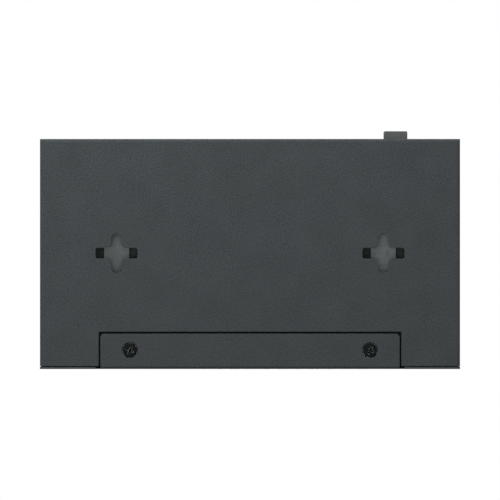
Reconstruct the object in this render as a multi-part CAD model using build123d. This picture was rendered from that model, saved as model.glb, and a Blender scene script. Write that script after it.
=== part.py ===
from build123d import *
import os

# A small eight socket ethernet switch in a folded sheet steel case, in millimetres.
# X runs along the case, Y from the socket wall to the front face, Z up.
# The origin is the centre of the underside.

# Case shells
case_length = 157.4
case_depth = 86.2
head_room = 4.45
sheet = 0.8
bend_radius = 1.2
shell_gap = 0.15
front_gap = 0.3
corner_slit = 0.25
lip_gap = 0.25
rim_step = 0.3

# Tongues at the rear of the cover that enter slots in the socket wall
tongue_width = 9.0
tongue_rise = 1.6

# Flush flange of the cover on the underside, and the raised seat that takes it
flange_from_end = 22.65
flange_depth = 13.25
flange_corner = 1.5
flange_seam = 0.65
flange_seam_rear = 0.75
seat_gap = 0.1
seat_corner = 0.6
relief_width = 1.8
relief_height = 2.0

# Cover screws, countersunk, and the weld nuts that hold them
screw_from_flange_end = 11.05
screw_from_front = 7.0
thread_radius = 1.5
thread_gap = 0.05
head_radius = 2.8
head_gap = 0.05
crown_radius = 2.25
crown_rise = 0.2
head_sink = 0.05
screw_length = 6.0
cross_span = 3.0
cross_root = 1.4
cross_width = 0.6
cross_depth = 1.2
cross_turn = 25.0
nut_radius = 3.6
nut_hole_radius = 2.3
nut_height = 2.2

# Wall mounting keyholes and the straps behind them
keyhole_pitch = 100.0
keyhole_across = 15.7
keyhole_along = 14.9
keyhole_y = -0.3
keyhole_arm = 4.0
keyhole_corner = 1.7
keyhole_end_corner = 0.8
keyhole_depth = 4.2
strap_width = 9.4
strap_foot = 4.0
strap_flat = 19.0
strap_sheet = 0.8

# Side vents
vent_width = 2.4
vent_height = 12.0
vent_lean = 4.0
vent_pitch = 5.4
vent_margin = 12.0

# Circuit board and its standoffs
standoff_height = 6.0
standoff_flats = 5.0
standoff_inset_x = 5.0
standoff_from_shield = 4.55
standoff_inset_front = 9.0
board_thickness = 1.6
board_gap_side = 2.0
board_gap_rear = 1.0
board_gap_front = 4.0
board_hole_radius = 1.7
board_screw_head = 2.75
board_screw_head_height = 2.0
board_screw_length = 6.5
bore_spare = 0.5

# Socket blocks, four sockets in each
end_room = 5.0
jack_room = 6.8
socket_pitch = 14.0
block_gap = 2.0
block_end_wall = 0.4
housing_height = 13.0
housing_depth = 16.0
shield_sheet = 0.3
shield_gap = 0.05
wire_room = 1.15
face_inset = 0.25
window_gap = 0.2
plug_width = 11.9
plug_height = 6.9
latch_width = 6.4
latch_height = 2.4
catch_width = 3.6
catch_height = 1.1
socket_floor = 1.2
socket_depth = 14.5
wire_count = 8
wire_pitch = 1.02
wire_size = 0.46
wire_groove = 1.0
wire_lip = 2.4
wire_reach = 7.5
wire_drop = 2.4

# Power socket
jack_from_end = 24.0
jack_width = 8.8
jack_height = 11.0
jack_depth = 14.4
jack_nose = 3.0
jack_corner = 0.5
jack_gap = 0.2
jack_bore_radius = 3.2
jack_bore_depth = 10.5
jack_pin_radius = 1.05
jack_pin_inset = 1.0
spring_sheet = 0.4
spring_width = 3.0
spring_slot = 0.9

# Parts on the board
transformer_length = 17.8
transformer_depth = 9.5
transformer_height = 5.8
transformer_gap = 5.0
transformer_leads = 6
lead_pitch = 2.5
lead_width = 0.6
lead_reach = 1.5
lead_thickness = 0.25
chip_size = 14.0
chip_height = 0.9
chip_y = 12.0
sink_size = 26.0
sink_base = 1.6
sink_height = 9.0
fin_count = 8
fin_thickness = 1.1
crystal_length = 11.4
crystal_width = 4.2
crystal_height = 3.6
crystal_gap = 8.3
regulator_length = 6.5
regulator_width = 3.6
regulator_height = 1.6
regulator_y = 2.0
inductor_size = 7.3
inductor_corner = 1.6
inductor_height = 4.2
inductor_gap = 5.1
capacitor_radius = 4.0
capacitor_height = 11.5
capacitor_pitch = 9.0
capacitor_from_shield = 9.05

# Lamps and the clear pipe that carries their light to the front face
lamp_pitch = 6.0
lamp_from_end = 36.7
power_lamp_offset = 12.0
lamp_rise = 5.6
pipe_width = 2.8
pipe_height = 1.4
pipe_hole_gap = 0.1
pipe_proud = 0.2
pipe_bar = 2.4
pipe_bar_gap = 0.3
pipe_leg = 1.8
lamp_length = 1.6
lamp_body_height = 0.8
lamp_gap = 0.15

# Worked out places
half_length = case_length / 2
half_depth = case_depth / 2
cut = 2.0
front_inner = half_depth - sheet
pan_front = front_inner - front_gap
seat_raise = sheet + seat_gap
flange_length = case_length - 2 * flange_from_end
screw_pitch = flange_length - 2 * screw_from_flange_end
seat_half = flange_length / 2 + flange_seam
seat_rear = half_depth - flange_depth - flange_seam_rear
screw_y = half_depth - screw_from_front
head_rim = head_sink + crown_rise
sink_radius = head_radius + head_rim + head_gap
board_bottom = sheet + standoff_height
board_top = board_bottom + board_thickness
shield_top = board_top + housing_height + shield_gap + shield_sheet
lip_bottom = shield_top + lip_gap
tongue_z = lip_bottom + tongue_rise
case_height = shield_top + head_room + sheet
wall_top = case_height - rim_step
board_half = half_length - sheet - board_gap_side
board_rear = -half_depth + sheet + board_gap_rear
board_front = front_inner - board_gap_front
jack_place = half_length - jack_from_end
block_room = half_length + jack_place - jack_width / 2 - jack_room - end_room - block_gap
shield_walls = 2 * (block_end_wall + shield_gap + shield_sheet)
socket_count = int((block_room / 2 - shield_walls) / socket_pitch)
block_length = socket_count * socket_pitch + 2 * block_end_wall
socket_face = -half_depth + face_inset
housing_face = socket_face + shield_sheet + shield_gap
housing_rear = housing_face + housing_depth
shield_rear = housing_rear + wire_room + shield_sheet
socket_bottom = board_top + socket_floor
socket_shelf = socket_bottom + catch_height + latch_height
socket_roof = socket_shelf + plug_height
shield_outer = block_length + 2 * (shield_gap + shield_sheet)
block_offset = (shield_outer + block_gap) / 2
block_centre = jack_place - jack_width / 2 - jack_room - shield_outer - block_gap / 2
jack_axis = board_top + jack_height / 2
jack_face = -half_depth - jack_nose
lamp_z = board_top + lamp_rise


def block(x0, x1, y0, y1, z0, z1):
    """Box between two corners."""
    return Pos((x0 + x1) / 2, (y0 + y1) / 2, (z0 + z1) / 2) * Box(x1 - x0, y1 - y0, z1 - z0)


def rod(x, y, z0, z1, radius):
    """Upright cylinder."""
    return Pos(x, y, (z0 + z1) / 2) * Cylinder(radius, z1 - z0)


def rod_along_y(x, z, y0, y1, radius):
    """Cylinder that lies along Y."""
    return Pos(x, (y0 + y1) / 2, z) * Rot(90, 0, 0) * Cylinder(radius, y1 - y0)


def turned(points, x, y):
    """Solid turned about the upright line through x, y from a half outline of radius and height."""
    outline = make_face(Polyline(*[(r, 0, z) for r, z in points], close=True))
    return Pos(x, y, 0) * revolve(outline, Axis.Z)


def keyhole_outline():
    """Cross with round ends along Y and nearly square ends along X."""
    across = RectangleRounded(keyhole_across, keyhole_arm, keyhole_end_corner)
    along = SlotOverall(keyhole_along, keyhole_arm, rotation=90)
    cross = across + along
    corner = keyhole_arm / 2
    inner = [v for v in cross.vertices() if abs(abs(v.X) - corner) + abs(abs(v.Y) - corner) < 0.01]
    return fillet(inner, keyhole_corner)


def keyhole_places():
    return [-keyhole_pitch / 2, keyhole_pitch / 2]


def screw_places():
    return [-screw_pitch / 2, screw_pitch / 2]


def block_places():
    return [block_centre - block_offset, block_centre + block_offset]


def socket_places(centre):
    first = centre - (socket_count - 1) * socket_pitch / 2
    return [first + i * socket_pitch for i in range(socket_count)]


def lamp_places():
    """The power lamp, then one lamp for each socket."""
    power = half_length - lamp_from_end
    row = [power - power_lamp_offset - i * lamp_pitch for i in range(2 * socket_count)]
    return [power] + row


def standoff_places():
    x = board_half - standoff_inset_x
    rear = shield_rear + standoff_from_shield
    front = board_front - standoff_inset_front
    return [(-x, rear), (x, rear), (-x, front), (x, front)]


def pan_shell():
    """Floor, two ends and the socket wall, folded up from one sheet."""
    outer = block(-half_length, half_length, -half_depth, pan_front, 0, wall_top)
    outer = fillet(outer.edges().group_by(Axis.Z)[0].sort_by(Axis.Y)[:-1], bend_radius)
    inner = block(-half_length + sheet, half_length - sheet, -half_depth + sheet, pan_front + cut,
                  sheet, wall_top + cut)
    inner = fillet(inner.edges().group_by(Axis.Z)[0].sort_by(Axis.Y)[:-1], bend_radius - sheet)
    pan = outer - inner
    slit_y = -half_depth + sheet
    for side in (-1, 1):
        wall = side * (half_length - sheet / 2)
        pan -= block(wall - sheet, wall + sheet, slit_y, slit_y + corner_slit, bend_radius, wall_top + cut)
    return pan


def flange_seat():
    """Raised shelf at the front of the floor, with the pocket below it."""
    shelf = block(-seat_half - sheet, seat_half + sheet, seat_rear - sheet, pan_front,
                  0, seat_raise + sheet)
    corners = shelf.edges().filter_by(Axis.Z).sort_by(Axis.Y)[:2]
    shelf = fillet(corners, seat_corner + sheet)
    pocket = block(-seat_half, seat_half, seat_rear, pan_front + cut, -cut, seat_raise)
    corners = pocket.edges().filter_by(Axis.Z).sort_by(Axis.Y)[:2]
    return shelf, fillet(corners, seat_corner)


def vent_cuts():
    """Row of leaning slots, through one end wall at X = 0."""
    span = 2 * (half_depth - vent_margin)
    count = int(span // vent_pitch) + 1
    middle = (sheet + case_height) / 2
    low = -vent_height / 2
    left = -(vent_width + vent_lean) / 2
    outline = Polyline((left, low), (left + vent_width, low), (left + vent_width + vent_lean, -low),
                       (left + vent_lean, -low), close=True)
    slot = extrude(make_face(Plane.YZ * outline), sheet * 2, both=True)
    first = -(count - 1) * vent_pitch / 2
    return [Pos(0, first + i * vent_pitch, middle) * slot for i in range(count)]


def tongue_places():
    return [block_centre - shield_outer, block_centre, block_centre + shield_outer]


def base_pan():
    pan = pan_shell()
    shelf, pocket = flange_seat()
    pan = pan + shelf - pocket
    for x in keyhole_places():
        pan -= Pos(x, keyhole_y, -cut) * extrude(keyhole_outline(), sheet + 2 * cut)
    for x in screw_places():
        pan -= rod(x, screw_y, seat_raise - cut, seat_raise + sheet + cut, nut_hole_radius)
    for side in (-1, 1):
        for slot in vent_cuts():
            pan -= Pos(side * (half_length - sheet / 2), 0, 0) * slot
    wall_in = -half_depth + sheet
    for x in block_places():
        half = shield_outer / 2 + window_gap
        pan -= block(x - half, x + half, -half_depth - cut, wall_in + cut,
                     board_top - window_gap, shield_top + window_gap)
    half = jack_width / 2 + jack_gap
    pan -= block(jack_place - half, jack_place + half, -half_depth - cut, wall_in + cut,
                 board_top - jack_gap, board_top + jack_height + jack_gap)
    for x in tongue_places():
        half = tongue_width / 2 + shell_gap
        pan -= block(x - half, x + half, -half_depth - cut, wall_in + cut,
                     tongue_z - shell_gap, tongue_z + sheet + shell_gap)
    return pan


def cover_plate():
    """Top plate with a short lip at both ends and at the rear."""
    side = half_length - sheet - shell_gap
    rear = -half_depth + sheet + shell_gap
    outer = block(-side, side, rear, half_depth, lip_bottom, case_height)
    outer = fillet(outer.edges().group_by(Axis.Z)[-1], bend_radius)
    inner = block(-side + sheet, side - sheet, rear + sheet, front_inner,
                  lip_bottom - cut, case_height - sheet)
    inner = fillet(inner.edges().group_by(Axis.Z)[-1], bend_radius - sheet)
    plate = outer - inner
    for end in (-1, 1):
        lip = end * (side - sheet / 2)
        for y in (rear + sheet, front_inner - corner_slit):
            plate -= block(lip - sheet, lip + sheet, y, y + corner_slit,
                           lip_bottom - cut, case_height - bend_radius)
    return plate


def cover_front():
    """Front face with the flange folded back under the case."""
    whole = block(-half_length, half_length, 0, half_depth, 0, case_height)
    top = whole.edges().group_by(Axis.Z)[-1].sort_by(Axis.Y)[-1]
    whole = fillet(top, bend_radius)
    face = whole & block(-half_length, half_length, front_inner, half_depth, 0, case_height)
    flange = block(-flange_length / 2, flange_length / 2, half_depth - flange_depth, half_depth, 0, sheet)
    flange = fillet(flange.edges().filter_by(Axis.Z).sort_by(Axis.Y)[:2], flange_corner)
    for end in (-1, 1):
        middle = end * (flange_length + relief_width) / 2
        face -= block(middle - relief_width / 2, middle + relief_width / 2,
                      front_inner - cut, half_depth + cut, -cut, relief_height)
    folded = face + flange
    outer = [e for e in folded.edges().filter_by(Axis.X)
             if e.center().Y > half_depth - 0.01 and e.center().Z < 0.01 and abs(e.center().X) < 0.01]
    folded = fillet(outer, bend_radius)
    inner = [e for e in folded.edges().filter_by(Axis.X)
             if abs(e.center().Y - front_inner) < 0.01 and abs(e.center().Z - sheet) < 0.01]
    return fillet(inner, bend_radius - sheet)


def top_cover():
    cover = cover_plate() + cover_front()
    rear = -half_depth + sheet + shell_gap
    for x in tongue_places():
        cover += block(x - tongue_width / 2, x + tongue_width / 2, -half_depth + shell_gap, rear + sheet,
                       tongue_z, tongue_z + sheet)
    for x in screw_places():
        cover -= turned([(0, -cut), (sink_radius + cut, -cut), (sink_radius - sheet - seat_gap, seat_raise),
                         (0, seat_raise)], x, screw_y)
    half_x = pipe_width / 2 + pipe_hole_gap
    half_z = pipe_height / 2 + pipe_hole_gap
    for x in lamp_places():
        cover -= block(x - half_x, x + half_x, front_inner - cut, half_depth + cut, lamp_z - half_z,
                       lamp_z + half_z)
    return cover


def cross_cut(x, y, z, upward):
    """Cross recess of a screw head, its wings narrowing inwards, open up or down."""
    half = cross_span / 2
    root = cross_root / 2
    outline = Polyline((-half, 0), (half, 0), (root, cross_depth), (-root, cross_depth), close=True)
    wing = extrude(make_face(Plane.XZ * outline), cross_width / 2, both=True)
    turn = Rot(180, 0, 0) if upward else Rot(0, 0, 0)
    return Pos(x, y, z) * turn * Rot(0, 0, cross_turn) * (wing + Rot(0, 0, 90) * wing)


def cover_screw(x):
    """Countersunk screw with a low crown, driven from below."""
    cone_top = head_rim + head_radius - thread_radius
    tip = head_sink + screw_length
    screw = turned([(0, head_sink), (crown_radius, head_sink), (head_radius, head_rim), (thread_radius, cone_top),
                    (thread_radius, tip), (0, tip)], x, screw_y)
    return screw - cross_cut(x, screw_y, head_sink, False)


def cover_nut(x):
    """Hexagonal weld nut on the raised seat."""
    body = extrude(RegularPolygon(nut_radius, 6, major_radius=False), nut_height)
    body -= rod(0, 0, -cut, nut_height + cut, thread_radius + thread_gap)
    return Pos(x, screw_y, seat_raise + sheet) * body


def keyhole_strap(x):
    """Hat shaped strap over a keyhole, its feet flat on the floor."""
    half = strap_flat / 2
    rise = keyhole_depth - sheet
    low = sheet
    high = sheet + rise
    outline = Polyline(
        (-half - rise - strap_foot, low), (-half - rise, low), (-half, high), (half, high),
        (half + rise, low), (half + rise + strap_foot, low), (half + rise + strap_foot, low + strap_sheet),
        (half + rise + strap_sheet / 2, low + strap_sheet), (half + strap_sheet / 2, high + strap_sheet),
        (-half - strap_sheet / 2, high + strap_sheet), (-half - rise - strap_sheet / 2, low + strap_sheet),
        (-half - rise - strap_foot, low + strap_sheet), close=True)
    profile = make_face(Plane.YZ * outline)
    return Pos(x, keyhole_y, 0) * extrude(profile, strap_width / 2, both=True)


def board_standoffs():
    column = extrude(RegularPolygon(standoff_flats / 2, 6, major_radius=False), standoff_height)
    bore_depth = board_screw_length - board_thickness + bore_spare
    column -= rod(0, 0, standoff_height - bore_depth, standoff_height + cut, thread_radius + thread_gap)
    return [Pos(x, y, sheet) * column for x, y in standoff_places()]


def board_screws():
    """Pan head screws that hold the board on its standoffs."""
    screws = []
    for x, y in standoff_places():
        top = board_top + board_screw_head_height
        screw = rod(x, y, board_top, top, board_screw_head)
        screw += rod(x, y, board_top - board_screw_length, board_top, thread_radius)
        screws.append(screw - cross_cut(x, y, top, True))
    return screws


def circuit_board():
    board = block(-board_half, board_half, board_rear, board_front, board_bottom, board_top)
    for x, y in standoff_places():
        board -= rod(x, y, board_bottom - cut, board_top + cut, board_hole_radius)
    return board


def socket_outline(grow):
    """Opening for a plug, with the stepped channel for its latch below."""
    body = Pos(0, socket_shelf + plug_height / 2) * Rectangle(plug_width + 2 * grow, plug_height + 2 * grow)
    latch = Pos(0, socket_bottom + catch_height + latch_height / 2)
    latch = latch * Rectangle(latch_width + 2 * grow, latch_height + 2 * grow)
    catch = Pos(0, socket_bottom + catch_height / 2)
    catch = catch * Rectangle(catch_width + 2 * grow, catch_height + 2 * grow)
    return body + latch + catch


def socket_cut(x, y0, y1, grow):
    """Solid of the opening from y0 to y1."""
    solid = extrude(Plane.XZ * socket_outline(grow), -(y1 - y0))
    return Pos(x, y0, 0) * solid


def port_housing(centre):
    """Moulded block with four plug cavities and a groove for the wires over each."""
    half = block_length / 2
    housing = block(centre - half, centre + half, housing_face, housing_rear, board_top,
                    board_top + housing_height)
    groove_half = (wire_count * wire_pitch) / 2
    for x in socket_places(centre):
        housing -= socket_cut(x, housing_face - cut, housing_face + socket_depth, 0)
        housing -= block(x - groove_half, x + groove_half, housing_face + wire_lip, housing_rear + cut,
                         socket_roof - cut, socket_roof + wire_groove)
    return housing


def port_contacts(centre):
    """Spring wires, each from its foot on the board, over the roof and back down into the cavity."""
    foot_y = housing_rear + wire_room / 2
    run_z = socket_roof + wire_groove / 2
    front_y = housing_face + wire_lip + wire_size
    half = wire_size / 2
    tip_y = front_y + wire_reach
    drop = run_z - wire_drop - half
    outline = Polyline(
        (foot_y + half, board_top), (foot_y + half, run_z + half), (front_y - half, run_z + half),
        (front_y - half, run_z - half), (tip_y, drop), (tip_y, drop + wire_size),
        (front_y + wire_size * 3, run_z - half), (foot_y - half, run_z - half), (foot_y - half, board_top),
        close=True)
    wire = extrude(make_face(Plane.YZ * outline), half, both=True)
    first = -(wire_count - 1) * wire_pitch / 2
    wires = []
    for x in socket_places(centre):
        for i in range(wire_count):
            wires.append(Pos(x + first + i * wire_pitch, 0, 0) * wire)
    return wires


def port_shield(centre):
    """Thin metal can over the housing, open below, with four windows."""
    half = shield_outer / 2
    can = block(centre - half, centre + half, socket_face, shield_rear, board_top, shield_top)
    can -= block(centre - half + shield_sheet, centre + half - shield_sheet, socket_face + shield_sheet,
                 shield_rear - shield_sheet, board_top - cut, shield_top - shield_sheet)
    for x in socket_places(centre):
        can -= socket_cut(x, socket_face - cut, socket_face + shield_sheet + cut, shield_gap)
    return can


def dc_jack_housing():
    half = jack_width / 2
    body = block(jack_place - half, jack_place + half, jack_face, jack_face + jack_depth,
                 board_top, board_top + jack_height)
    body = fillet(body.edges().filter_by(Axis.Z).sort_by(Axis.Y)[:2], jack_corner)
    bore_end = jack_face + jack_bore_depth
    body -= rod_along_y(jack_place, jack_axis, jack_face - cut, bore_end, jack_bore_radius)
    slot = jack_bore_radius + spring_slot
    body -= block(jack_place, jack_place + slot, jack_face + jack_pin_inset, bore_end,
                  jack_axis - spring_width / 2 - jack_gap, jack_axis + spring_width / 2 + jack_gap)
    return body


def dc_jack_pin():
    start = jack_face + jack_pin_inset
    return rod_along_y(jack_place, jack_axis, start, jack_face + jack_bore_depth, jack_pin_radius)


def dc_jack_spring():
    """Bent strip at the side of the bore that presses on the plug."""
    outer = jack_place + jack_bore_radius + spring_slot
    start = jack_face + jack_pin_inset + jack_gap
    end = jack_face + jack_bore_depth
    middle = (start + end) / 2
    bow = spring_slot
    outline = Polyline(
        (outer - spring_sheet, end), (outer, end), (outer, middle + bow), (outer - bow, middle),
        (outer, start + bow), (outer - spring_sheet, start + bow), (outer - bow - spring_sheet, middle),
        (outer - spring_sheet, middle + bow), close=True)
    strip = extrude(make_face(outline), spring_width / 2, both=True)
    return Pos(0, 0, jack_axis) * strip


def transformer_places():
    pitch = 2 * socket_pitch
    first = block_centre - (socket_count - 1) * pitch / 2
    return [first + i * pitch for i in range(socket_count)]


def transformer_y():
    return shield_rear + transformer_gap + transformer_depth / 2


def transformer(x):
    """Potted transformer module of two sockets, with a moulded chamfer on top."""
    y = transformer_y()
    body = block(x - transformer_length / 2, x + transformer_length / 2, y - transformer_depth / 2,
                 y + transformer_depth / 2, board_top + lead_thickness, board_top + transformer_height)
    return chamfer(body.edges().group_by(Axis.Z)[-1], lead_width)


def transformer_leads_of(x):
    """Flat leads along both long sides, each sloping from the side down to the board."""
    y = transformer_y()
    leads = []
    first = -(transformer_leads - 1) * lead_pitch / 2
    side_y = transformer_depth / 2
    high = board_top + transformer_height / 2
    slope = Polyline(
        (side_y, high), (side_y, high - lead_width), (side_y + lead_reach - lead_width, board_top),
        (side_y + lead_reach, board_top), close=True)
    lead = extrude(make_face(Plane.YZ * slope), lead_width / 2, both=True)
    for turn in (0, 180):
        for i in range(transformer_leads):
            leads.append(Pos(x, y, 0) * Rot(0, 0, turn) * Pos(first + i * lead_pitch, 0, 0) * lead)
    return leads


def switch_chip():
    half = chip_size / 2
    return block(block_centre - half, block_centre + half, chip_y - half, chip_y + half,
                 board_top, board_top + chip_height)


def heat_sink():
    """Extruded sink with straight fins, seated on the chip."""
    half = sink_size / 2
    low = board_top + chip_height
    left = block_centre - half
    base = block(left, left + sink_size, chip_y - half, chip_y + half, low, low + sink_base)
    step = (sink_size - fin_thickness) / (fin_count - 1)
    for i in range(fin_count):
        x = left + i * step
        base += block(x, x + fin_thickness, chip_y - half, chip_y + half, low, low + sink_height)
    return base


def crystal():
    """Metal can with round ends."""
    body = extrude(SlotOverall(crystal_length, crystal_width), crystal_height)
    x = block_centre - (sink_size + crystal_length) / 2 - crystal_gap
    return Pos(x, chip_y, board_top) * body


def regulator_x():
    return jack_place - capacitor_pitch


def regulator():
    """Moulded body with a wide tab at one side and three leads at the other."""
    middle = regulator_x()
    x0 = middle - regulator_length / 2
    x1 = middle + regulator_length / 2
    y0 = regulator_y - regulator_width / 2
    y1 = regulator_y + regulator_width / 2
    body = block(x0, x1, y0, y1, board_top, board_top + regulator_height)
    body = chamfer(body.edges().group_by(Axis.Z)[-1], lead_thickness)
    body += block(x0 + lead_reach, x1 - lead_reach, y1, y1 + lead_reach, board_top,
                  board_top + lead_thickness)
    for i in (-1, 0, 1):
        x = middle + i * lead_pitch
        body += block(x - lead_width / 2, x + lead_width / 2, y0 - lead_reach, y0, board_top,
                      board_top + lead_thickness)
    return body


def power_inductor():
    """Pressed block with cut corners."""
    body = extrude(Rectangle(inductor_size, inductor_size), inductor_height)
    body = chamfer(body.edges().filter_by(Axis.Z), inductor_corner)
    body = chamfer(body.faces().sort_by(Axis.Z)[-1].edges(), lead_thickness)
    x = regulator_x() + (regulator_length + inductor_size) / 2 + inductor_gap
    return Pos(x, regulator_y, board_top) * body


def capacitor(x):
    """Electrolytic can."""
    y = shield_rear + capacitor_from_shield
    return rod(x, y, board_top, board_top + capacitor_height, capacitor_radius)


def capacitor_places():
    return [jack_place + (i - 1) * capacitor_pitch for i in range(3)]


def light_pipe():
    """One clear moulding: a bar behind the face, with a flat pin and an upright leg for each lamp."""
    bar_front = front_inner - pipe_bar_gap
    bar_rear = bar_front - pipe_bar
    places = lamp_places()
    left = min(places) - pipe_leg
    right = max(places) + pipe_leg
    pipe = block(left, right, bar_rear, bar_front, lamp_z - pipe_bar / 2, lamp_z + pipe_bar / 2)
    leg_low = board_top + lamp_body_height + lamp_gap
    leg_rear = board_front - 2 * pipe_leg
    leg_front = leg_rear + pipe_leg
    top = lamp_z + pipe_leg / 2
    bottom = lamp_z - pipe_leg / 2
    outline = Polyline(
        (leg_rear, leg_low), (leg_front, leg_low), (leg_front, bottom), (bar_rear, bottom), (bar_rear, top),
        (leg_front, top), (leg_rear, bottom), close=True)
    leg = extrude(make_face(Plane.YZ * outline), pipe_leg / 2, both=True)
    for x in places:
        pipe += Pos(x, 0, 0) * leg
        pipe += block(x - pipe_width / 2, x + pipe_width / 2, bar_front, half_depth + pipe_proud,
                      lamp_z - pipe_height / 2, lamp_z + pipe_height / 2)
    return pipe


def lamp(x):
    """Surface mounted lamp under a leg of the light pipe."""
    middle = board_front - 1.5 * pipe_leg
    half = lamp_length / 2
    return block(x - half, x + half, middle - half / 2, middle + half / 2, board_top,
                 board_top + lamp_body_height)


def build():
    """All pieces by name."""
    left_block, right_block = block_places()
    pieces = {
        "base_pan": base_pan(),
        "top_cover": top_cover(),
        "cover_screw_left": cover_screw(screw_places()[0]),
        "cover_screw_right": cover_screw(screw_places()[1]),
        "cover_nut_left": cover_nut(screw_places()[0]),
        "cover_nut_right": cover_nut(screw_places()[1]),
        "keyhole_strap_left": keyhole_strap(keyhole_places()[0]),
        "keyhole_strap_right": keyhole_strap(keyhole_places()[1]),
        "board_standoffs": board_standoffs(),
        "board_screws": board_screws(),
        "circuit_board": circuit_board(),
        "port_shield_left": port_shield(left_block),
        "port_shield_right": port_shield(right_block),
        "port_housing_left": port_housing(left_block),
        "port_housing_right": port_housing(right_block),
        "port_contacts_left": port_contacts(left_block),
        "port_contacts_right": port_contacts(right_block),
        "dc_jack_housing": dc_jack_housing(),
        "dc_jack_pin": dc_jack_pin(),
        "dc_jack_spring": dc_jack_spring(),
        "switch_chip": switch_chip(),
        "heat_sink": heat_sink(),
        "crystal": crystal(),
        "regulator": regulator(),
        "power_inductor": power_inductor(),
        "light_pipe": light_pipe(),
    }
    for i, x in enumerate(transformer_places()):
        pieces[f"transformer_{i + 1}"] = transformer(x)
        pieces[f"transformer_leads_{i + 1}"] = transformer_leads_of(x)
    for i, x in enumerate(capacitor_places()):
        pieces[f"capacitor_{i + 1}"] = capacitor(x)
    for i, x in enumerate(lamp_places()):
        name = "power_lamp" if i == 0 else f"port_lamp_{i}"
        pieces[name] = lamp(x)
    return pieces


def main():
    os.makedirs("parts", exist_ok=True)
    for name, shape in build().items():
        if isinstance(shape, list):
            shape = Compound(children=shape)
        shape.label = name
        export_step(shape, f"parts/{name}.step")


main()
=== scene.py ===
import bpy
import math
import random
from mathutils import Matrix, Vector

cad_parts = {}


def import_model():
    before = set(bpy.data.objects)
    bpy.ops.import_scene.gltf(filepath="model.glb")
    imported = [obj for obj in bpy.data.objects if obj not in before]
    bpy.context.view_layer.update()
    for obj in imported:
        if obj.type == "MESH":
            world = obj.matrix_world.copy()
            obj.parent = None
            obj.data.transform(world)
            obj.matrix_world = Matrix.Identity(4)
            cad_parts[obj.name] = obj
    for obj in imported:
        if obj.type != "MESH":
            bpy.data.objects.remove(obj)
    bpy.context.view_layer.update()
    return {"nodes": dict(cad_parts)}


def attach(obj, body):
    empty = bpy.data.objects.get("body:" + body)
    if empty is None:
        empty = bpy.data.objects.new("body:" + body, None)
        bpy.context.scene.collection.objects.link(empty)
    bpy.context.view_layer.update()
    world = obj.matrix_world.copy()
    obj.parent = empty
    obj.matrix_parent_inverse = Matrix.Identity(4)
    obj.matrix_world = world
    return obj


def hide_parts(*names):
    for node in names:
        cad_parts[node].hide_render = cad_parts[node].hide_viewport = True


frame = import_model()


mm = 0.001
scene = bpy.context.scene
scene.view_settings.view_transform = "Standard"
random.seed(7)

# View of the photograph
photo_width_mm = 187.28
photo_shift_y_mm = 1.49
camera_distance = 3.0
sensor_mm = 36.0

# Lamps: name, place in metres, size in metres, power in watts, and whether bare metal mirrors them.
# The low ones light the underside, which the photograph shows, and the high ones the other sides.
lamp_rows = [
    ("low_key", (-0.80, 0.80, -1.25), 0.90, 4.2, True),
    ("low_front", (-0.24, 0.16, -1.40), 1.00, 3.2, True),
    ("low_rear", (-0.18, -0.42, -0.26), 0.20, 5.8, False),
    ("low_left", (-0.85, -0.12, -0.45), 0.35, 2.6, False),
    ("low_right", (0.85, -0.12, -0.45), 0.40, 6.0, False),
    ("high_key", (-0.55, -0.75, 0.85), 0.60, 7.0, True),
    ("high_fill", (0.75, 0.45, 0.70), 0.60, 4.0, True),
]
lamp_aim = Vector((0, 0, 0.0135))
world_light = 0.3
world_white = 1.0

# Floor: half its side and its drop below the object in metres, its grey, and the share that glows
floor_half = 3.0
floor_drop = 0.05 * mm
floor_grey = (0.86, 0.86, 0.86, 1)
floor_glow = 0.9
glow_share = 0.6

# Chip parts on the board, in millimetres
chip_length = 1.6
chip_width = 0.8
chip_end = 0.3
resistor_height = 0.45
capacitor_height = 0.8
chip_room = 1.8
chip_scatter = 0.08
box_draw = 0.06
# Rows of them: first place in x and y, step in x and y, how many, and whether they lie across
chip_rows = [
    (-66.0, -7.0, 3.2, 0.0, 13, False),
    (-2.0, -7.0, 3.2, 0.0, 12, False),
    (-34.5, 1.0, 0.0, 3.1, 8, True),
    (4.5, 1.0, 0.0, 3.1, 8, True),
    (-60.0, 30.5, 4.4, 0.0, 20, False),
    (62.0, -6.0, 3.0, 0.0, 3, True),
    (-58.0, 4.0, 0.0, 2.9, 7, True),
    (-54.0, 4.0, 0.0, 2.9, 7, True),
    (24.0, 12.0, 3.0, 0.0, 6, True),
]

# Leads of the switch chip, in millimetres
lead_pitch = 0.65
lead_reach = 0.9
lead_half = 0.13
lead_gap = 0.01
lead_top = 0.28
lead_margin = 1.2

# Solder joints under the board, in millimetres: places in x and y, and radius and height of each ring
socket_centres = (-65.75, -51.75, -37.75, -23.75, -6.25, 7.75, 21.75, 35.75)
socket_joints = [((i - 3.5) * 1.02, -26.2 - 1.3 * (i % 2)) for i in range(8)] + [(-5.2, -34.0), (5.2, -34.0)]
jack_joints = [(54.7, -33.0), (54.7, -38.0), (59.4, -35.5)]
capacitor_joints = [(x + side, -16.0) for x in (45.7, 54.7, 63.7) for side in (-1.75, 1.75)]
crystal_joints = [(-44.4, 12.0), (-39.6, 12.0)]
joint_rings = [(0.25, -1.3), (0.34, -0.8), (0.6, -0.35), (0.75, 0.0)]
joint_steps = 12

# Capacitor cans, in millimetres: how far in from the side, and how far above the foot or below the top
can_foot = [(0.5, 0.0), (0.0, 0.5), (0.0, 1.4), (0.35, 1.9), (0.35, 2.2), (0.0, 2.7)]
can_top = [(0.0, 0.45), (0.13, 0.13), (0.45, 0.0), (0.8, 0.0), (0.85, 0.3)]
lid_rim = [(0.87, 0.3), (0.9, 0.12), (1.05, 0.07)]
lid_centre_radius = 0.4
can_steps = 48


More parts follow.
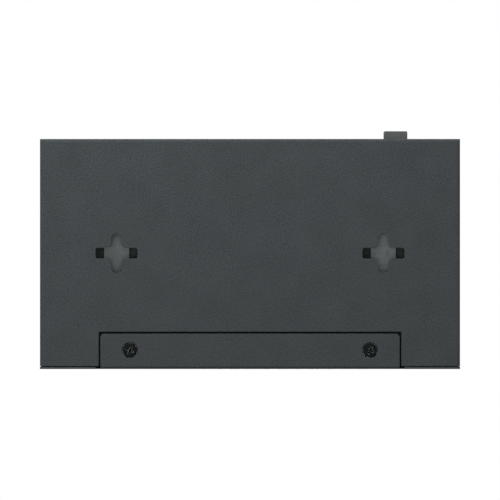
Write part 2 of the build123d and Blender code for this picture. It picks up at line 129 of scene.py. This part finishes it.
def camera():
    """Long lens straight below the underside, with the socket wall at the top of the picture."""
    data = bpy.data.cameras.new("camera")
    data.sensor_width = sensor_mm
    data.lens = sensor_mm * camera_distance / (photo_width_mm * mm)
    data.clip_start = 0.05
    data.clip_end = 100.0
    obj = bpy.data.objects.new("camera", data)
    obj.location = (0, -photo_shift_y_mm * mm, -camera_distance)
    obj.rotation_euler = (math.pi, 0, 0)
    scene.collection.objects.link(obj)
    scene.camera = obj


def area_lamp(name, place, size, power, mirrored):
    """Soft square lamp that points at the object."""
    data = bpy.data.lights.new(name, "AREA")
    data.shape = "SQUARE"
    data.size = size
    data.energy = power
    obj = bpy.data.objects.new(name, data)
    obj.location = place
    obj.rotation_euler = (lamp_aim - Vector(place)).to_track_quat("-Z", "Y").to_euler()
    obj.visible_camera = False
    obj.visible_glossy = mirrored
    scene.collection.objects.link(obj)


def larger(tree, a, b):
    """The larger of two sockets."""
    node = tree.nodes.new("ShaderNodeMath")
    node.operation = "MAXIMUM"
    tree.links.new(a, node.inputs[0])
    tree.links.new(b, node.inputs[1])
    return node.outputs[0]


def glow(tree, kind, strength):
    """White light of a world or a surface."""
    node = tree.nodes.new(kind)
    node.inputs["Color"].default_value = (1, 1, 1, 1)
    node.inputs["Strength"].default_value = strength
    return node.outputs[0]


def blended(tree, factor, first, second):
    """Shader that goes from the first to the second with the factor, a number or a socket."""
    node = tree.nodes.new("ShaderNodeMixShader")
    if isinstance(factor, float):
        node.inputs[0].default_value = factor
    else:
        tree.links.new(factor, node.inputs[0])
    tree.links.new(first, node.inputs[1])
    tree.links.new(second, node.inputs[2])
    return node.outputs[0]


def world():
    """White where the camera, metal or glass sees it, a plain grey level as light."""
    studio = bpy.data.worlds.new("studio")
    studio.use_nodes = True
    tree = studio.node_tree
    tree.nodes.clear()
    path = tree.nodes.new("ShaderNodeLightPath").outputs
    direct = larger(tree, path["Is Camera Ray"], path["Is Glossy Ray"])
    seen = larger(tree, direct, path["Is Transmission Ray"])
    light = glow(tree, "ShaderNodeBackground", world_light)
    white = glow(tree, "ShaderNodeBackground", world_white)
    out = tree.nodes.new("ShaderNodeOutputWorld")
    tree.links.new(blended(tree, seen, light, white), out.inputs["Surface"])
    scene.world = studio


def floor_finish():
    """Pale and slightly glowing from above, clear from below."""
    mat = bpy.data.materials.new("pale_floor")
    mat.use_nodes = True
    tree = mat.node_tree
    tree.nodes.clear()
    paint = tree.nodes.new("ShaderNodeBsdfDiffuse")
    paint.inputs["Color"].default_value = floor_grey
    ground = blended(tree, glow_share, paint.outputs[0], glow(tree, "ShaderNodeEmission", floor_glow))
    clear = tree.nodes.new("ShaderNodeBsdfTransparent")
    under = tree.nodes.new("ShaderNodeNewGeometry").outputs["Backfacing"]
    out = tree.nodes.new("ShaderNodeOutputMaterial")
    tree.links.new(blended(tree, under, ground, clear.outputs[0]), out.inputs["Surface"])
    return mat


def floor():
    """Pale floor just under the object, seen only from above."""
    mesh = bpy.data.meshes.new("floor")
    corners = [(-1, -1), (1, -1), (1, 1), (-1, 1)]
    mesh.from_pydata([(x * floor_half, y * floor_half, -floor_drop) for x, y in corners], [], [(0, 1, 2, 3)])
    obj = bpy.data.objects.new("floor", mesh)
    mesh.materials.append(floor_finish())
    scene.collection.objects.link(obj)
    obj.visible_diffuse = False
    obj.visible_glossy = False
    obj.visible_transmission = False
    obj.visible_shadow = False


class Finish:
    """A material under construction: one shader and helpers for its textures, in object space."""

    def __init__(self, name, color, roughness, metallic=0.0, specular=0.5):
        self.mat = bpy.data.materials.new(name)
        self.mat.use_nodes = True
        self.tree = self.mat.node_tree
        self.shader = self.tree.nodes["Principled BSDF"]
        self.put("Base Color", (*color, 1))
        self.put("Roughness", roughness)
        self.put("Metallic", metallic)
        self.put("Specular IOR Level", specular)
        self.place = self.tree.nodes.new("ShaderNodeTexCoord").outputs["Object"]
        self.normal = None

    def put(self, socket, value):
        self.shader.inputs[socket].default_value = value

    def link(self, a, b):
        self.tree.links.new(a, b)

    def stretched(self, x, y, z):
        """Object coordinates scaled to make streaks."""
        node = self.tree.nodes.new("ShaderNodeMapping")
        node.inputs["Scale"].default_value = (x, y, z)
        self.link(self.place, node.inputs["Vector"])
        return node.outputs[0]

    def noise(self, size_mm, detail=3.0, where=None):
        """Noise with features of about the given size."""
        node = self.tree.nodes.new("ShaderNodeTexNoise")
        node.inputs["Scale"].default_value = 1 / (size_mm * mm)
        node.inputs["Detail"].default_value = detail
        node.inputs["Roughness"].default_value = 0.55
        self.link(where or self.place, node.inputs["Vector"])
        return node.outputs["Fac"]

    def cells(self, size_mm):
        """Cells of about the given size."""
        node = self.tree.nodes.new("ShaderNodeTexVoronoi")
        node.inputs["Scale"].default_value = 1 / (size_mm * mm)
        self.link(self.place, node.inputs["Vector"])
        return node

    def span(self, value, low, high, to_low, to_high):
        """Value stretched from one range to another, clamped."""
        node = self.tree.nodes.new("ShaderNodeMapRange")
        node.inputs["From Min"].default_value = low
        node.inputs["From Max"].default_value = high
        node.inputs["To Min"].default_value = to_low
        node.inputs["To Max"].default_value = to_high
        self.link(value, node.inputs["Value"])
        return node.outputs["Result"]

    def math(self, operation, a, b):
        """Sum, product or larger of two values, each a number or a socket."""
        node = self.tree.nodes.new("ShaderNodeMath")
        node.operation = operation
        for socket, value in zip(node.inputs, (a, b)):
            if isinstance(value, (int, float)):
                socket.default_value = value
            else:
                self.link(value, socket)
        return node.outputs[0]

    def tint(self, factor, low, high, shade=None):
        """Base colour mixed between two colours by the factor, darker where the shade is low."""
        node = self.tree.nodes.new("ShaderNodeMix")
        node.data_type = "RGBA"
        node.inputs["A"].default_value = (*low, 1)
        node.inputs["B"].default_value = (*high, 1)
        self.link(factor, node.inputs["Factor"])
        color = node.outputs["Result"]
        if shade:
            scale = self.tree.nodes.new("ShaderNodeVectorMath")
            scale.operation = "SCALE"
            self.link(color, scale.inputs[0])
            self.link(shade, scale.inputs["Scale"])
            color = scale.outputs[0]
        self.link(color, self.shader.inputs["Base Color"])

    def rough(self, factor, low, high):
        """Roughness between two values, by the factor."""
        self.link(self.span(factor, 0.3, 0.7, low, high), self.shader.inputs["Roughness"])

    def bump(self, height, depth_mm, strength):
        """Fine relief on top of what the surface already has."""
        node = self.tree.nodes.new("ShaderNodeBump")
        node.inputs["Distance"].default_value = depth_mm * mm
        node.inputs["Strength"].default_value = strength
        self.link(height, node.inputs["Height"])
        if self.normal:
            self.link(self.normal, node.inputs["Normal"])
        self.normal = node.outputs["Normal"]
        self.link(self.normal, self.shader.inputs["Normal"])

    def crevices(self, reach_mm):
        """How open a spot is, from 0 deep in a gap to 1 in the open."""
        node = self.tree.nodes.new("ShaderNodeAmbientOcclusion")
        node.samples = 8
        node.inputs["Distance"].default_value = reach_mm * mm
        return node.outputs["AO"]

    def soft_edges(self, radius_mm):
        """Edges that catch the light as rounded ones do."""
        node = self.tree.nodes.new("ShaderNodeBevel")
        node.samples = 4
        node.inputs["Radius"].default_value = radius_mm * mm
        self.normal = node.outputs["Normal"]
        self.link(self.normal, self.shader.inputs["Normal"])

    def sharp_edge_mask(self, radius_mm, low, high):
        """Mask that is 1 on sharp edges, from the turn between the softened and the true normal."""
        soft = self.tree.nodes.new("ShaderNodeBevel")
        soft.samples = 6
        soft.inputs["Radius"].default_value = radius_mm * mm
        flat = self.tree.nodes.new("ShaderNodeNewGeometry")
        turn = self.tree.nodes.new("ShaderNodeVectorMath")
        turn.operation = "DOT_PRODUCT"
        self.link(soft.outputs["Normal"], turn.inputs[0])
        self.link(flat.outputs["Normal"], turn.inputs[1])
        return self.span(turn.outputs["Value"], low, high, 1, 0)


def scaled(color, factor):
    return tuple(c * factor for c in color)


def powder_coat():
    """Dark grey powder coat: fine leathery grain, with painted shade deep in the gaps and recesses."""
    color = (0.0252, 0.0287, 0.0302)
    f = Finish("powder_coat", color, 0.6, specular=0.06)
    f.soft_edges(0.26)
    grain = f.noise(0.62, 3.0)
    broad = f.noise(14.0, 2.0)
    mixed = f.math("ADD", f.math("MULTIPLY", grain, 0.8), f.math("MULTIPLY", broad, 0.2))
    # painted shade: base colour darkened by ambient occlusion within 5 mm, in seams, hole walls and screw
    # sinks
    f.tint(f.span(mixed, 0.3, 0.7, 0, 1), scaled(color, 0.7), scaled(color, 1.3),
           f.span(f.crevices(5.0), 0.6, 0.97, 0.06, 1))
    f.rough(f.noise(0.5, 2.0), 0.48, 0.64)
    f.bump(grain, 0.04, 0.6)
    f.bump(f.noise(1.6, 1.0), 0.04, 0.4)
    return f.mat


def black_screw():
    """Black oxide, with bright bare-metal specks on its sharp edges: partly rubbed wear, partly painted
    glints.
    """
    color = (0.004, 0.005, 0.005)
    f = Finish("black_screw", color, 0.34, specular=0.02)
    f.soft_edges(0.12)
    speck_noise = f.noise(0.5, 4.0)
    # painted glints: bright bare metal on sharp edges of the cross recess, partly also rubbed wear
    wear_and_glints = f.math("MULTIPLY", f.sharp_edge_mask(0.25, 0.8, 0.975), f.span(speck_noise, 0.45, 0.6, 0, 1))
    f.tint(wear_and_glints, color, (0.42, 0.43, 0.43))
    f.link(wear_and_glints, f.shader.inputs["Metallic"])
    f.rough(speck_noise, 0.28, 0.46)
    f.bump(f.noise(0.25, 2.0), 0.015, 0.5)
    return f.mat


def zinc(name, color, roughness):
    """Zinc plated steel: soft spangle with fine rolling lines."""
    f = Finish(name, color, roughness, metallic=1.0)
    f.soft_edges(0.08)
    spangle = f.cells(2.6).outputs["Color"]
    lines = f.noise(0.5, 2.0, f.stretched(0.06, 1, 1))
    mixed = f.math("ADD", f.math("MULTIPLY", lines, 0.5), f.math("MULTIPLY", spangle, 0.3))
    f.tint(f.span(mixed, 0.2, 0.6, 0, 1), scaled(color, 0.82), scaled(color, 1.15))
    f.rough(lines, roughness - 0.08, roughness + 0.1)
    f.bump(lines, 0.01, 0.5)
    return f.mat


def tin(name="tinned_steel"):
    """Bright tin plate with drawn streaks."""
    color = (0.54, 0.54, 0.53)
    f = Finish(name, color, 0.34, metallic=1.0)
    f.soft_edges(0.05)
    lines = f.noise(0.4, 3.0, f.stretched(0.05, 1, 1))
    f.tint(f.span(lines, 0.3, 0.7, 0, 1), scaled(color, 0.85), scaled(color, 1.08))
    f.rough(lines, 0.28, 0.42)
    f.bump(lines, 0.008, 0.5)
    return f.mat


def brass():
    """Turned brass: faint rings and a dull film."""
    color = (0.68, 0.50, 0.22)
    f = Finish("standoff_brass", color, 0.34, metallic=1.0)
    f.soft_edges(0.1)
    rings = f.noise(0.25, 1.0, f.stretched(0.1, 0.1, 1))
    film = f.noise(2.0, 3.0)
    f.tint(f.span(film, 0.3, 0.7, 0, 1), scaled(color, 0.75), color)
    f.rough(film, 0.26, 0.45)
    f.bump(rings, 0.01, 0.5)
    return f.mat


def gold():
    """Thin gold plate over spring wire, with drawing lines."""
    color = (0.86, 0.60, 0.18)
    f = Finish("gold_wire", color, 0.2, metallic=1.0)
    lines = f.noise(0.2, 2.0, f.stretched(1, 0.08, 1))
    f.tint(f.span(lines, 0.3, 0.7, 0, 1), scaled(color, 0.85), color)
    f.rough(lines, 0.14, 0.28)
    return f.mat


def solder_mask():
    """Green solder mask: raised tracks and small round pads under a satin film."""
    color = (0.010, 0.026, 0.018)
    f = Finish("board_green", color, 0.5, specular=0.3)
    tracks = f.tree.nodes.new("ShaderNodeTexBrick")
    tracks.inputs["Scale"].default_value = 1 / (9 * mm)
    tracks.inputs["Mortar Size"].default_value = 0.03
    tracks.inputs["Brick Width"].default_value = 0.9
    tracks.inputs["Row Height"].default_value = 0.11
    f.link(f.place, tracks.inputs["Vector"])
    line = tracks.outputs["Fac"]
    film = f.noise(4.0, 3.0)
    pad = f.span(f.cells(3.2).outputs["Distance"], 0.1, 0.14, 1, 0)
    mixed = f.math("MAXIMUM", f.math("MULTIPLY", line, 0.7), f.math("MULTIPLY", pad, 0.9))
    f.tint(mixed, color, (0.009, 0.036, 0.021))
    f.rough(film, 0.42, 0.58)
    f.bump(line, 0.03, 0.7)
    return f.mat


def moulding(name, color, roughness, grain_mm=0.18):
    """Moulded plastic with the fine spark texture of its tool."""
    f = Finish(name, color, roughness, specular=0.45)
    f.soft_edges(0.12)
    grain = f.noise(grain_mm, 2.0)
    flow = f.noise(5.0, 2.0)
    f.tint(f.span(flow, 0.3, 0.7, 0, 1), scaled(color, 0.85), scaled(color, 1.2))
    f.rough(flow, roughness - 0.08, roughness + 0.08)
    f.bump(grain, 0.012, 0.6)
    return f.mat


def anodised():
    """Black anodised extrusion with its drawing lines."""
    color = (0.03, 0.03, 0.033)
    f = Finish("sink_aluminium", color, 0.42, metallic=0.6)
    f.soft_edges(0.1)
    lines = f.noise(0.3, 3.0, f.stretched(1, 0.03, 1))
    f.tint(f.span(lines, 0.3, 0.7, 0, 1), scaled(color, 0.7), scaled(color, 1.5))
    f.rough(lines, 0.34, 0.52)
    f.bump(lines, 0.015, 0.6)
    return f.mat


def can_aluminium():
    """Drawn aluminium can with fine upright lines."""
    color = (0.72, 0.73, 0.74)
    f = Finish("can_aluminium", color, 0.3, metallic=1.0)
    f.soft_edges(0.15)
    lines = f.noise(0.3, 2.0, f.stretched(1, 1, 0.05))
    f.tint(f.span(lines, 0.3, 0.7, 0, 1), scaled(color, 0.85), scaled(color, 1.05))
    f.rough(lines, 0.24, 0.38)
    f.bump(lines, 0.008, 0.5)
    return f.mat


def ferrite():
    """Pressed ferrite: dark, matt and speckled."""
    color = (0.06, 0.06, 0.065)
    f = Finish("ferrite", color, 0.68)
    f.soft_edges(0.2)
    specks = f.noise(0.35, 4.0)
    f.tint(f.span(specks, 0.45, 0.75, 0, 1), scaled(color, 0.8), scaled(color, 2.0))
    f.rough(specks, 0.6, 0.75)
    f.bump(specks, 0.03, 0.6)
    return f.mat


def clear_pipe():
    """Clear moulded acrylic, slightly clouded."""
    f = Finish("clear_pipe", (0.93, 0.95, 0.95), 0.1)
    f.put("Transmission Weight", 0.85)
    f.put("IOR", 1.49)
    cloud = f.noise(1.5, 3.0)
    f.rough(cloud, 0.06, 0.2)
    f.bump(f.noise(3.0, 1.0), 0.02, 0.4)
    return f.mat


def lamp_resin():
    """Lamp body: pale resin with a yellow phosphor in the middle."""
    f = Finish("lamp_white", (0.8, 0.76, 0.62), 0.3)
    grain = f.noise(0.5, 2.0)
    f.tint(f.span(grain, 0.35, 0.65, 0, 1), (0.80, 0.62, 0.22), (0.86, 0.84, 0.78))
    f.rough(grain, 0.22, 0.38)
    return f.mat


def placed(name, verts, faces, mat):
    """Piece of the part from a mesh in millimetres."""
    mesh = bpy.data.meshes.new(name)
    mesh.from_pydata([tuple(v * mm for v in vert) for vert in verts], [], faces)
    mesh.materials.append(mat)
    obj = bpy.data.objects.new(name, mesh)
    scene.collection.objects.link(obj)
    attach(obj, "root")
    return obj


def box_corners(x0, x1, y0, y1, z0, z1):
    """Corners of a box, the upper four slightly drawn in."""
    draw = box_draw * min(x1 - x0, y1 - y0)
    low = [(x0, y0, z0), (x1, y0, z0), (x1, y1, z0), (x0, y1, z0)]
    high = [(x0 + draw, y0 + draw, z1), (x1 - draw, y0 + draw, z1), (x1 - draw, y1 - draw, z1),
            (x0 + draw, y1 - draw, z1)]
    return low + high


def boxes(name, corner_sets, mat):
    """One piece made of separate boxes."""
    verts = []
    faces = []
    for corners in corner_sets:
        n = len(verts)
        verts += corners
        faces += [(n + 3, n + 2, n + 1, n), (n + 4, n + 5, n + 6, n + 7)]
        for i in range(4):
            j = (i + 1) % 4
            faces.append((n + i, n + j, n + j + 4, n + i + 4))
    placed(name, verts, faces, mat)


def turn(verts, faces, profile, x, y, steps):
    """Add a closed body turned about an upright line, from radius and height of each ring."""
    n = len(verts)
    for r, z in profile:
        for i in range(steps):
            a = 2 * math.pi * i / steps
            verts.append((x + r * math.cos(a), y + r * math.sin(a), z))
    for k in range(n, n + (len(profile) - 1) * steps, steps):
        for i in range(steps):
            j = (i + 1) % steps
            faces.append((k + i, k + j, k + steps + j, k + steps + i))
    last = n + (len(profile) - 1) * steps
    faces.append(tuple(reversed(range(n, n + steps))))
    faces.append(tuple(range(last, last + steps)))


def turned(name, profile, x, y, mat):
    """Smooth turned piece."""
    verts = []
    faces = []
    turn(verts, faces, profile, x, y, can_steps)
    obj = placed(name, verts, faces, mat)
    for poly in obj.data.polygons:
        poly.use_smooth = len(poly.vertices) == 4
    return obj


def node_box(name):
    """Lowest and highest corner of a CAD node, in millimetres."""
    node = frame["nodes"][name]
    points = [node.matrix_world @ v.co / mm for v in node.data.vertices]
    low = [min(p[i] for p in points) for i in range(3)]
    high = [max(p[i] for p in points) for i in range(3)]
    return low, high


def matching(*starts):
    """Names of the CAD nodes that start with one of the given words."""
    return [n for n in frame["nodes"] if n.startswith(starts)]


def chip_boxes(x, y, across, top, tall):
    """Body and the two ends of a chip part."""
    half = chip_length / 2
    inner = half - chip_end
    side = chip_width / 2
    spans = [(-inner, inner), (-half, -inner), (inner, half)]
    if across:
        return [box_corners(x - side, x + side, y + a, y + b, top, top + tall) for a, b in spans]
    return [box_corners(x + a, x + b, y - side, y + side, top, top + tall) for a, b in spans]


def chip_parts():
    """Rows of chip resistors and capacitors on the board, left out where a larger part stands."""
    top = node_box("circuit_board")[1][2]
    taken = [node_box(n) for n in matching(
        "transformer_", "switch_chip", "crystal", "regulator", "power_inductor", "capacitor_", "port_housing",
        "port_shield", "dc_jack_housing", "light_pipe", "power_lamp", "port_lamp")]
    places = [(x + i * step_x, y + i * step_y, across)
              for x, y, step_x, step_y, count, across in chip_rows for i in range(count)]
    resistors = []
    capacitors = []
    ends = []
    for n, (x, y, across) in enumerate(places):
        is_capacitor = n % 3 == 0
        x += random.uniform(-chip_scatter, chip_scatter)
        y += random.uniform(-chip_scatter, chip_scatter)
        if any(low[0] - chip_room < x < high[0] + chip_room and low[1] - chip_room < y < high[1] + chip_room
               for low, high in taken):
            continue
        tall = capacitor_height if is_capacitor else resistor_height
        body, *tips = chip_boxes(x, y, across, top, tall)
        ends += tips
        (capacitors if is_capacitor else resistors).append(body)
    black = moulding("resistor_black", (0.03, 0.03, 0.034), 0.4, 0.1)
    boxes("chip_resistors", resistors, black)
    beige = moulding("capacitor_beige", (0.30, 0.20, 0.11), 0.45, 0.1)
    boxes("chip_capacitors", capacitors, beige)
    boxes("chip_ends", ends, tin("solder_tin"))


def chip_leads():
    """Fine leads on the four sides of the switch chip."""
    low, high = node_box("switch_chip")
    middle = [(a + b) / 2 for a, b in zip(low, high)]
    count = int((high[0] - low[0] - lead_margin) / lead_pitch)
    z0 = low[2] + lead_gap
    z1 = low[2] + lead_top
    leads = []
    for i in range(count):
        d = (i - (count - 1) / 2) * lead_pitch
        x0, x1 = middle[0] + d - lead_half, middle[0] + d + lead_half
        y0, y1 = middle[1] + d - lead_half, middle[1] + d + lead_half
        leads.append(box_corners(x0, x1, low[1] - lead_reach, low[1] - lead_gap, z0, z1))
        leads.append(box_corners(x0, x1, high[1] + lead_gap, high[1] + lead_reach, z0, z1))
        leads.append(box_corners(low[0] - lead_reach, low[0] - lead_gap, y0, y1, z0, z1))
        leads.append(box_corners(high[0] + lead_gap, high[0] + lead_reach, y0, y1, z0, z1))
    boxes("chip_leads", leads, tin("lead_tin"))


def solder_joints():
    """Small cones of solder under the board, below the parts that go through it."""
    low = node_box("circuit_board")[0][2]
    places = [(centre + x, y) for centre in socket_centres for x, y in socket_joints]
    places += jack_joints + capacitor_joints + crystal_joints
    profile = [(r, low + z) for r, z in joint_rings]
    verts = []
    faces = []
    for x, y in places:
        turn(verts, faces, profile, x, y, joint_steps)
    placed("solder_joints", verts, faces, tin("joint_tin"))


def capacitor_cans():
    """Cans with a crimped neck and a sunk lid, in place of the plain cylinders."""
    can = can_aluminium()
    sleeve = moulding("sleeve_black", (0.02, 0.02, 0.024), 0.35, 0.15)
    for name in sorted(matching("capacitor")):
        low, high = node_box(name)
        x = (low[0] + high[0]) / 2
        y = (low[1] + high[1]) / 2
        r = (high[0] - low[0]) / 2
        profile = [(r - a, low[2] + b) for a, b in can_foot] + [(r - a, high[2] - b) for a, b in can_top]
        body = turned(name + "_sleeve", profile, x, y, sleeve)
        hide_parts(name)
        lid = [(r - a, high[2] - b) for a, b in lid_rim]
        lid.append((lid_centre_radius, lid[-1][1]))
        turned(name + "_lid", lid, x, y, can)


def dress(nodes, mat):
    """Give CAD nodes their finish."""
    for name in nodes:
        obj = frame["nodes"][name]
        for s in obj.material_slots:
            s.material = mat
        if not obj.material_slots:
            obj.data.materials.append(mat)


def dress_all():
    """Finish of every CAD node."""
    dress(["base_pan", "top_cover"], powder_coat())
    dress(matching("cover_screw"), black_screw())
    dress(matching("keyhole_strap"), zinc("strap_zinc", (0.090, 0.099, 0.101), 0.52))
    dress(matching("cover_nut", "board_screws"), zinc("bright_zinc", (0.55, 0.56, 0.57), 0.32))
    dress(["board_standoffs"], brass())
    dress(["circuit_board"], solder_mask())
    dress(matching("port_shield", "dc_jack_pin", "dc_jack_spring", "crystal", "transformer_leads"), tin())
    dress(matching("port_housing"), moulding("black_moulding", (0.016, 0.016, 0.017), 0.42))
    dress(["dc_jack_housing"], moulding("jack_moulding", (0.034, 0.037, 0.036), 0.5))
    dress(matching("port_contacts"), gold())
    chips = [n for n in matching("transformer_", "switch_chip", "regulator") if "leads" not in n]
    dress(chips, moulding("chip_black", (0.022, 0.022, 0.024), 0.55, 0.12))
    dress(["heat_sink"], anodised())
    dress(matching("capacitor"), can_aluminium())
    dress(["power_inductor"], ferrite())
    dress(["light_pipe"], clear_pipe())
    dress(matching("power_lamp", "port_lamp"), lamp_resin())


camera()
for lamp_row in lamp_rows:
    area_lamp(*lamp_row)
world()
floor()
dress_all()
chip_parts()
chip_leads()
solder_joints()
capacitor_cans()
